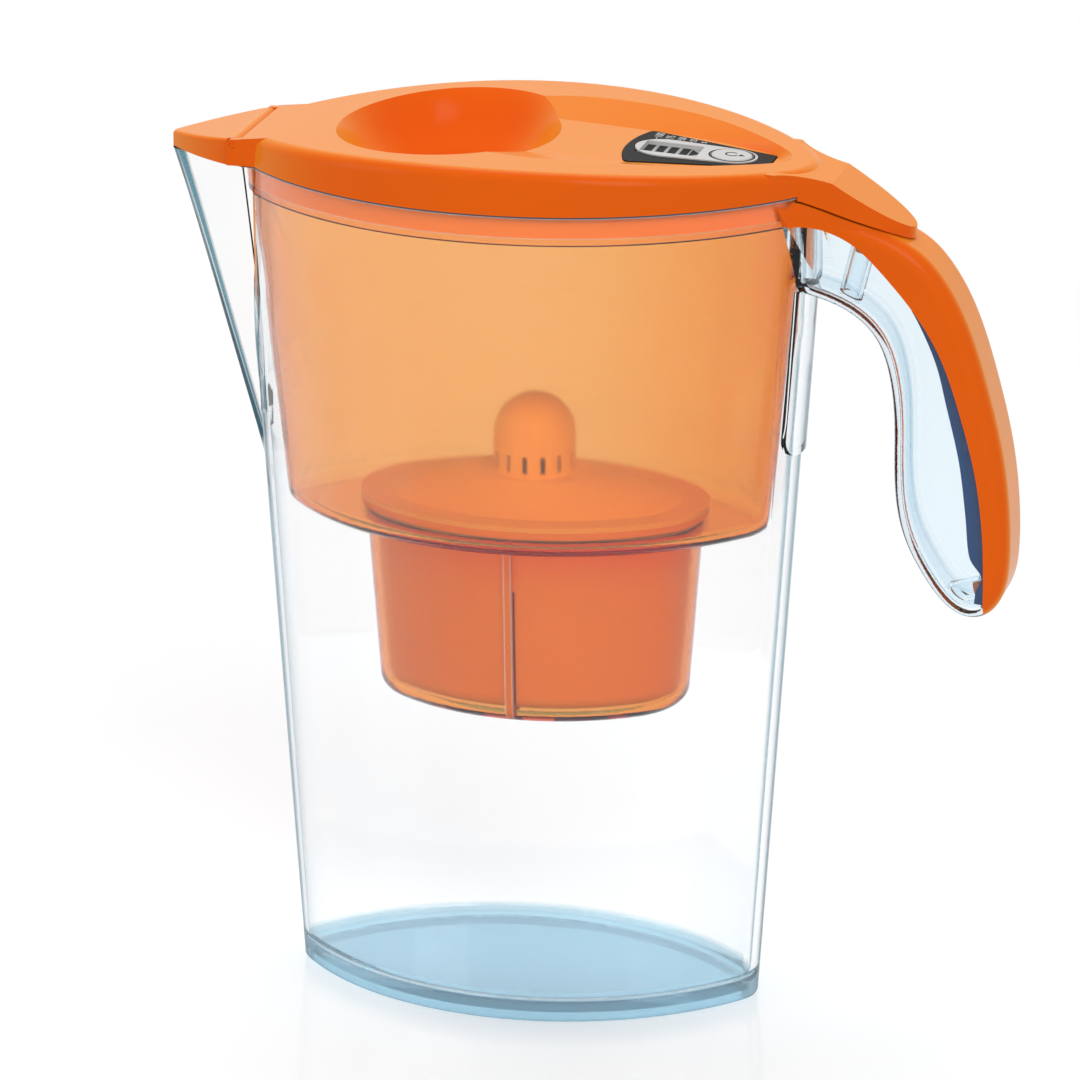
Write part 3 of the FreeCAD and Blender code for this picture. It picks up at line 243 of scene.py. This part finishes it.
strip_edge = [Vector(place) for place in
              ((0.1015, 0, 0.2175), (0.1096, 0, 0.2078), (0.1178, 0, 0.1944), (0.1227, 0, 0.1811),
               (0.1270, 0, 0.1659), (0.1296, 0, 0.1510), (0.1306, 0, 0.1385), (0.1307, 0, 0.1325),
               (0.1307, 0, 0.1285), (0.1305, 0, 0.1246))]
strip_widths = [Vector((width, 0, 0)) for width in
                (0.0002, 0.0007, 0.0022, 0.0034, 0.0040, 0.0045, 0.0041, 0.0007, 0.0021, 0.0024)]
strip_steps, strip_tangent_share = 72, 0.01
strip_outer, strip_inner, strip_gap = 0.0083, 0.0042, 0.0002
strip = bmesh.new()
bmesh.ops.create_grid(strip, x_segments=strip_steps, y_segments=1, size=0.5)
for corner in strip.verts:
    share = corner.co.x + 0.5
    on_edge = point_between(strip_edge, share)
    along = (point_between(strip_edge, min(share + strip_tangent_share, 1))
             - point_between(strip_edge, max(share - strip_tangent_share, 0)))
    inward = Vector((along.z, 0, -along.x)).normalized()
    width = point_between(strip_widths, share).x if corner.co.y < 0 else 0.0
    corner.co = on_edge + inward * (width + strip_gap) + Vector((0, -strip_outer, 0))
sides = bmesh.ops.extrude_face_region(strip, geom=strip.faces[:])["geom"]
bmesh.ops.translate(strip, vec=(0, strip_outer - strip_inner, 0), verts=corners_of(sides))
other = bmesh.ops.duplicate(strip, geom=strip.verts[:] + strip.edges[:] + strip.faces[:])["geom"]
bmesh.ops.scale(strip, vec=(1, -1, 1), verts=corners_of(other))
bmesh.ops.recalc_face_normals(strip, faces=strip.faces[:])
# Dark blue for the painted shade and reflection of the grip's clear wall.
painted_shade_blue = coloured_plastic("painted_shade_blue", (0.001, 0.050, 0.17, 1), (0.001, 0.040, 0.14, 1),
                              size=0.0010, gloss=0.30, spread=0.05, depth=0.000002, shine=0.1)
finished_piece("grip_painted_shade", strip, painted_shade_blue, "jug")


# Tank. Tinted orange styrene, 2 mm thick, hung by its collar in the jug's mouth. The collar and the
# rib down the front of the well are filled with more colour, so no light comes through them. The
# well holds the cartridge, and two drains in its floor let the filtered water out.
collar_foot = 0.2316
orange_tint = see_through("orange_tint", face=(1.0, 0.93, 0.80, 1), side=(0.80, 0.14, 0.01, 1),
                          absorbed=(0.965, 0.60, 0.02, 1), density=430.0, size=0.0016, gloss=0.11,
                          spread=0.03, depth=0.000006, lets_in=(1.0, 0.82, 0.45, 1),
                          solid_colour=(0.93, 0.175, 0.001, 1), solid_above=collar_foot)
tree = orange_tint.node_tree
shader = tree.nodes["Principled BSDF"]
colour = shader.inputs["Base Color"].links[0].from_socket
clear = shader.inputs["Transmission Weight"].links[0].from_socket
place = add(tree, "SeparateXYZ", {"Vector": object_place(tree)}).outputs

# The tank turns a deeper orange towards the handle end.
handle_end_deeper, handle_end_start, handle_end_full = (0.97, 0.84, 0.50, 1), 0.005, 0.075
handle_end = ramp(tree, place["X"], handle_end_start, handle_end_full, interpolation_type="SMOOTHSTEP")
colour = blend(tree, 1.0, colour, blend(tree, handle_end, white, handle_end_deeper), "MULTIPLY")

rib_colour = (0.66, 0.12, 0.002, 1)
rib_middle, rib_reach, rib_soft, well_top = 0.0015, 0.0010, 0.0003, 0.136
off = subtract(tree, place["X"], rib_middle)
off = add(tree, "Math", {0: off}, operation="ABSOLUTE").outputs["Value"]
in_front = add(tree, "Math", {0: place["Y"], 1: 0.0}, operation="LESS_THAN").outputs["Value"]
rib = ramp(tree, off, rib_reach - rib_soft, rib_reach + rib_soft, 1.0, 0.0)
rib = multiply(tree, multiply(tree, rib, between_heights(tree, 0.0, well_top)), in_front)
tree.links.new(blend(tree, rib, colour, rib_colour), shader.inputs["Base Color"])
tree.links.new(subtract(tree, clear, rib), shader.inputs["Transmission Weight"])
finish_node("hopper", orange_tint)


# Cartridge. An amber cup and a cream cap in satin polypropylene, which look orange through the tank.
# They are welded at the flange over a rubber seal, with carbon granules over resin beads between
# fine screens.
def grains(name, dark, pale, size, gloss, depth):
    """Packed grains, each a cell with a colour and a height of its own."""
    material, tree, shader = start_material(name)
    cells = add(tree, "TexVoronoi", {"Vector": object_place(tree), "Scale": 1 / size, "Randomness": 1.0})
    tone = add(tree, "RGBToBW", {"Color": cells.outputs["Color"]}).outputs["Val"]
    bump = add(tree, "Bump", {"Height": cells.outputs["Distance"], "Distance": depth}, invert=True)
    tree.links.new(blend(tree, tone, dark, pale), shader.inputs["Base Color"])
    tree.links.new(bump.outputs["Normal"], shader.inputs["Normal"])
    shader.inputs["Roughness"].default_value = gloss
    return material


threads_to_pitch, thread_rise_share, gap_shade_share = 0.32, 0.3, 0.25


def woven_screen(name, colour, pitch, gloss):
    """A fine woven screen: threads both ways, with dark gaps between them."""
    material, tree, shader = start_material(name)
    place = object_place(tree)
    threads = [add(tree, "TexWave", {"Vector": place, "Scale": threads_to_pitch / pitch}, bands_direction=way)
               for way in ("X", "Y")]
    woven = add(tree, "Math", {0: threads[0].outputs["Fac"], 1: threads[1].outputs["Fac"]},
                operation="MAXIMUM").outputs["Value"]
    gap = tuple(part * gap_shade_share for part in colour[:3]) + (1,)
    bump = add(tree, "Bump", {"Height": woven, "Distance": pitch * thread_rise_share})
    tree.links.new(blend(tree, woven, gap, colour), shader.inputs["Base Color"])
    tree.links.new(bump.outputs["Normal"], shader.inputs["Normal"])
    shader.inputs["Roughness"].default_value = gloss
    return material


satin = {"size": 0.0012, "gloss": 0.42, "spread": 0.06, "depth": 0.000006, "shine": 0.3}
finish_node("cartridge_cup", coloured_plastic("orange_satin", (0.90, 0.46, 0.035, 1), (0.88, 0.41, 0.03, 1),
                                              **satin))
finish_node("cartridge_cap", coloured_plastic("cap_satin", (0.98, 0.76, 0.34, 1), (0.97, 0.73, 0.31, 1),
                                              **satin))
finish_node("carbon_bed", grains("carbon_granules", (0.006, 0.006, 0.007, 1), (0.045, 0.045, 0.05, 1),
                                 size=0.0011, gloss=0.55, depth=0.0004))
finish_node("resin_bed", grains("resin_beads", (0.55, 0.28, 0.05, 1), (0.80, 0.55, 0.20, 1),
                                size=0.0007, gloss=0.25, depth=0.0003))
filter_screen = woven_screen("filter_screen", (0.82, 0.82, 0.80, 1), pitch=0.0006, gloss=0.5)
finish_node("upper_screen", filter_screen)
finish_node("lower_screens", filter_screen)
seal_rubber = coloured_plastic("seal_rubber", (0.55, 0.55, 0.54, 1), (0.48, 0.48, 0.47, 1),
                               size=0.0008, gloss=0.62, spread=0.06, depth=0.000015)
finish_node("cartridge_seal", seal_rubber)


# Lid. Glossy orange ABS in one moulding with its filling bowl, indicator trough and rear tab; the
# pouring flap and the filling flap snap on by their pins.
for name in ("lid_shell", "spout_flap", "fill_flap"):
    finish_node(name, orange_gloss)


# Indicator. A charcoal housing glued in the trough, with a pale face around a display window and a
# button; board, switch and cell inside are closed by a screwed cover with a seal.
line_scales, line_depth = (40, 2600, 900), 0.000006
smoother, rougher = 0.08, 0.12


def sheet_metal(name, colour, gloss):
    """Plated sheet metal with fine drawing lines along X."""
    material, tree, shader = start_material(name)
    stretched = add(tree, "Mapping", {"Vector": object_place(tree), "Scale": line_scales})
    lines = add(tree, "TexNoise", {"Vector": stretched.outputs["Vector"], "Scale": 1.0,
                                   "Detail": 2.0}).outputs["Fac"]
    rough = ramp(tree, lines, low=0.0, high=1.0, start=gloss - smoother, end=gloss + rougher)
    bump = add(tree, "Bump", {"Height": lines, "Distance": line_depth})
    tree.links.new(rough, shader.inputs["Roughness"])
    tree.links.new(bump.outputs["Normal"], shader.inputs["Normal"])
    shader.inputs["Base Color"].default_value = colour
    shader.inputs["Metallic"].default_value = 1.0
    return material


charcoal = coloured_plastic("charcoal", (0.012, 0.0115, 0.011, 1), (0.009, 0.0085, 0.008, 1),
                            size=0.0005, gloss=0.46, spread=0.06, depth=0.000006, shine=0.06)
pale_grey = coloured_plastic("pale_grey", (0.64, 0.63, 0.615, 1), (0.61, 0.60, 0.585, 1),
                             size=0.0005, gloss=0.38, spread=0.05, depth=0.000004, shine=0.2)
contact_rubber = coloured_plastic("contact_rubber", (0.03, 0.03, 0.03, 1), (0.09, 0.09, 0.09, 1),
                                  size=0.0003, gloss=0.6, spread=0.05, depth=0.000010)
board_green = coloured_plastic("board_green", (0.010, 0.14, 0.045, 1), (0.020, 0.22, 0.075, 1),
                               size=0.0015, gloss=0.3, spread=0.06, depth=0.000020)
lcd_glass = coloured_plastic("lcd_glass", (0.36, 0.365, 0.36, 1), (0.34, 0.345, 0.34, 1),
                             size=0.0004, gloss=0.16, spread=0.04, depth=0.000002, shine=0.2)
nickel_steel = sheet_metal("nickel_steel", (0.66, 0.65, 0.63, 1), gloss=0.26)
for name, material in (("indicator_bezel", charcoal), ("tact_switch", charcoal), ("back_cover", charcoal),
                       ("indicator_face", pale_grey), ("indicator_button", pale_grey),
                       ("back_cover_seal", seal_rubber), ("lcd_contact_strips", contact_rubber),
                       ("coin_cell", nickel_steel), ("cell_clip", nickel_steel),
                       ("back_cover_screws", nickel_steel), ("circuit_board", board_green),
                       ("lcd_panel", lcd_glass)):
    finish_node(name, material)


# Indicator marks. Four dark segments and an arrow in the display, printed ticks and percentages on
# the housing, and a printed ring round the button with a reset arrow on it. All lie in ink 0.06 mm
# thick on the surface that carries them.
housing_place, housing_tilt = (0.0495, 0, 0.24455), math.radians(3.2)
on_housing = Matrix.Translation(housing_place) @ Matrix.Rotation(housing_tilt, 4, "Y")
ink_thickness, weld = 0.00006, 1e-7
display_level, housing_level, face_level, button_level = -0.0004, 0.0003, 0.0006, 0.00095
display_ink = coloured_plastic("display_ink", (0.016, 0.016, 0.017, 1), (0.012, 0.012, 0.013, 1),
                               size=0.0004, gloss=0.5, spread=0.05, depth=0.000002, shine=0.05)
print_ink = coloured_plastic("print_ink", (0.60, 0.60, 0.59, 1), (0.56, 0.56, 0.55, 1),
                             size=0.0004, gloss=0.6, spread=0.05, depth=0.000002, shine=0.1)


def plate(mesh, low_x, high_x, low_y, high_y):
    """A flat rectangle between two corners."""
    made = bmesh.ops.create_grid(mesh, x_segments=1, y_segments=1, size=0.5)["verts"]
    bmesh.ops.scale(mesh, vec=(high_x - low_x, high_y - low_y, 1), verts=made)
    bmesh.ops.translate(mesh, vec=((low_x + high_x) / 2, (low_y + high_y) / 2, 0), verts=made)


def arrow_head(mesh, tip_x, tip_y, length, half_width, turn):
    """A flat triangle with its tip at a point, turned about it."""
    made = bmesh.ops.create_circle(mesh, cap_ends=True, segments=3, radius=1.0)["verts"]
    corners = ((0, 0, 0), (-length, half_width, 0), (-length, -half_width, 0))
    for corner, place in zip(made, corners):
        corner.co = Matrix.Rotation(turn, 4, "Z") @ Vector(place) + Vector((tip_x, tip_y, 0))


def band(mesh, centre_x, inner, outer, start, sweep, steps):
    """A flat ring, or part of one, round a point on the X axis."""
    first = [mesh.verts.new((centre_x + radius * math.cos(start), radius * math.sin(start), 0))
             for radius in (inner, outer)]
    edge = mesh.edges.new(first)
    bmesh.ops.spin(mesh, geom=first + [edge], cent=(centre_x, 0, 0), axis=(0, 0, 1), angle=sweep,
                   steps=steps, use_merge=sweep == math.tau)


def print_marks(name, mesh, level, material, body):
    """Flat marks given the ink's thickness and laid at a level of the housing."""
    bmesh.ops.remove_doubles(mesh, verts=mesh.verts[:], dist=weld)
    bmesh.ops.recalc_face_normals(mesh, faces=mesh.faces[:])
    raised = bmesh.ops.extrude_face_region(mesh, geom=mesh.faces[:])["geom"]
    bmesh.ops.translate(mesh, vec=(0, 0, ink_thickness), verts=corners_of(raised))
    bmesh.ops.translate(mesh, vec=(0, 0, level), verts=mesh.verts[:])
    bmesh.ops.transform(mesh, matrix=on_housing, verts=mesh.verts[:])
    bmesh.ops.recalc_face_normals(mesh, faces=mesh.faces[:])
    return finished_piece(name, mesh, material, body)


segment_places = (-0.0160, -0.0127, -0.0094, -0.0061)
segment_half_width, segment_low, segment_high = 0.00112, -0.0027, 0.0046
display_tip, display_tip_length, display_tip_half_width = -0.0019, 0.0026, 0.0033
segments = bmesh.new()
for place in segment_places:
    plate(segments, place - segment_half_width, place + segment_half_width, segment_low, segment_high)
arrow_head(segments, display_tip, (segment_low + segment_high) / 2, display_tip_length,
           display_tip_half_width, 0.0)
print_marks("display_segments", segments, display_level, display_ink, "lid")

tick_low, tick_high, tick_half_width = 0.0087, 0.0099, 0.00016
ticks = bmesh.new()
for place in segment_places:
    plate(ticks, place - tick_half_width, place + tick_half_width, tick_low, tick_high)
print_marks("printed_ticks", ticks, housing_level, print_ink, "lid")

percent_place, digit_scale, digit_weight = -0.0029, 1.35, 0.00004
labels = (("100", 0.0103, 0.0024), ("75", 0.0103, 0.0024), ("50", 0.0103, 0.0022), ("25", 0.0101, 0.0020),
          ("%", 0.0098, 0.0016))
digits = bmesh.new()
for place, (label, start_y, tall) in zip(segment_places + (percent_place,), labels):
    written = bpy.data.curves.new("digits", "FONT")
    written.body = label
    written.size = tall * digit_scale
    written.offset = digit_weight
    shown = bpy.data.objects.new("digits", written)
    flat = bpy.data.meshes.new_from_object(shown)
    flat.transform(Matrix.Translation((place + tall / 2, start_y, 0)) @ Matrix.Rotation(math.pi / 2, 4, "Z"))
    digits.from_mesh(flat)
    bpy.data.objects.remove(shown)
    bpy.data.meshes.remove(flat)
print_marks("printed_percentages", digits, housing_level, print_ink, "lid")

button_place, ring_inner, ring_outer, ring_steps = 0.0073, 0.00592, 0.00642, 64
button_ring = bmesh.new()
band(button_ring, button_place, ring_inner, ring_outer, 0.0, math.tau, ring_steps)
print_marks("button_ring", button_ring, face_level, display_ink, "lid")

icon_inner, icon_outer, icon_start, icon_sweep, icon_steps = 0.00150, 0.00190, 0.9, 5.0, 30
icon_tip_x, icon_tip_y, icon_tip_turn = button_place + 0.00235, 0.0006, 1.9
icon_tip_length, icon_tip_half_width = 0.0016, 0.0009
reset_arrow = bmesh.new()
band(reset_arrow, button_place, icon_inner, icon_outer, icon_start, icon_sweep, icon_steps)
arrow_head(reset_arrow, icon_tip_x, icon_tip_y, icon_tip_length, icon_tip_half_width, icon_tip_turn)
print_marks("reset_arrow", reset_arrow, button_level, display_ink, "button")


# Camera. The photograph's own place: a long lens 1.8 m away, a little to the right and above. The
# angles and the lens come from the outlines and from the ovals of the foot and the rim.
def look_from(target, azimuth, elevation, distance, lens):
    back = Vector((math.sin(azimuth) * math.cos(elevation), -math.cos(azimuth) * math.cos(elevation),
                   math.sin(elevation)))
    data = bpy.data.cameras.new("camera")
    data.lens = lens
    data.sensor_width = 36.0
    data.clip_end = 50.0
    made = bpy.data.objects.new("camera", data)
    made.location = target + back * distance
    made.rotation_euler = (-back).to_track_quat("-Z", "Y").to_euler()
    bpy.context.scene.collection.objects.link(made)
    return made


bpy.context.scene.camera = look_from(target=Vector((0.00292, 0, 0.13023)), azimuth=math.radians(14.28),
                                     elevation=math.radians(18.17), distance=1.8, lens=214.565)


# Studio. A pale floor that fades into a white surround, and three soft lamps. The surround is white
# to the eye and in reflections, and dimmer where it lights the pitcher.
def soft_lamp(name, place, target, across, tall, power, colour):
    data = bpy.data.lights.new(name, "AREA")
    data.shape = "RECTANGLE"
    data.size = across
    data.size_y = tall
    data.energy = power
    data.color = colour
    made = bpy.data.objects.new(name, data)
    made.location = place
    made.rotation_euler = (Vector(target) - Vector(place)).to_track_quat("-Z", "Y").to_euler()
    bpy.context.scene.collection.objects.link(made)


soft_lamp("key_lamp", (0.8, -1.2, 1.4), (0, 0, 0.14), across=0.7, tall=1.1, power=11.0,
          colour=(1.0, 0.99, 0.97))
soft_lamp("fill_lamp", (-1.4, -0.9, 0.7), (0, 0, 0.14), across=0.8, tall=1.0, power=4.0,
          colour=(0.97, 0.99, 1.0))
soft_lamp("top_lamp", (-0.2, 0.5, 1.6), (0, 0, 0.2), across=1.2, tall=1.0, power=7.0,
          colour=(1.0, 1.0, 1.0))


def larger(tree, first, second):
    return add(tree, "Math", {0: first, 1: second}, operation="MAXIMUM").outputs["Value"]


world = bpy.data.worlds.new("surround")
world.use_nodes = True
tree = world.node_tree
tree.nodes.clear()
path = add(tree, "LightPath").outputs
seen = larger(tree, larger(tree, path["Is Camera Ray"], path["Is Glossy Ray"]), path["Is Transmission Ray"])
ambient = add(tree, "Background", {"Color": (0.97, 0.985, 1.0, 1), "Strength": 0.55}).outputs["Background"]
shown = add(tree, "Background", {"Color": white, "Strength": 1.0}).outputs["Background"]
mixed = add(tree, "MixShader", {0: seen, 1: ambient, 2: shown})
tree.links.new(mixed.outputs["Shader"], add(tree, "OutputWorld").inputs["Surface"])
bpy.context.scene.world = world

floor_radius, fade_start, fade_end, floor_lift = 0.9, 0.22, 0.75, 0.16
floor_mesh = bmesh.new()
bmesh.ops.create_circle(floor_mesh, cap_ends=True, segments=96, radius=floor_radius)
data = bpy.data.meshes.new("floor")
floor_mesh.to_mesh(data)
floor_mesh.free()
floor = bpy.data.objects.new("floor", data)
bpy.context.scene.collection.objects.link(floor)
material, tree, shader = start_material("floor")
shader.inputs["Base Color"].default_value = (0.93, 0.935, 0.94, 1)
shader.inputs["Roughness"].default_value = 0.12
shader.inputs["Emission Color"].default_value = white
reach = add(tree, "VectorMath", {0: object_place(tree)}, operation="LENGTH").outputs["Value"]
fade = ramp(tree, reach, fade_start, fade_end, 1.0, 0.0, interpolation_type="SMOOTHSTEP")
tree.links.new(fade, shader.inputs["Alpha"])
path = add(tree, "LightPath").outputs
seen = larger(tree, path["Is Camera Ray"], path["Is Transmission Ray"])
tree.links.new(multiply(tree, seen, floor_lift), shader.inputs["Emission Strength"])
data.materials.append(material)

bpy.context.scene.view_settings.view_transform = "Standard"
bpy.context.scene.cycles.max_bounces = 16
bpy.context.scene.cycles.transmission_bounces = 16
bpy.context.scene.cycles.transparent_max_bounces = 20
bpy.context.view_layer.update()
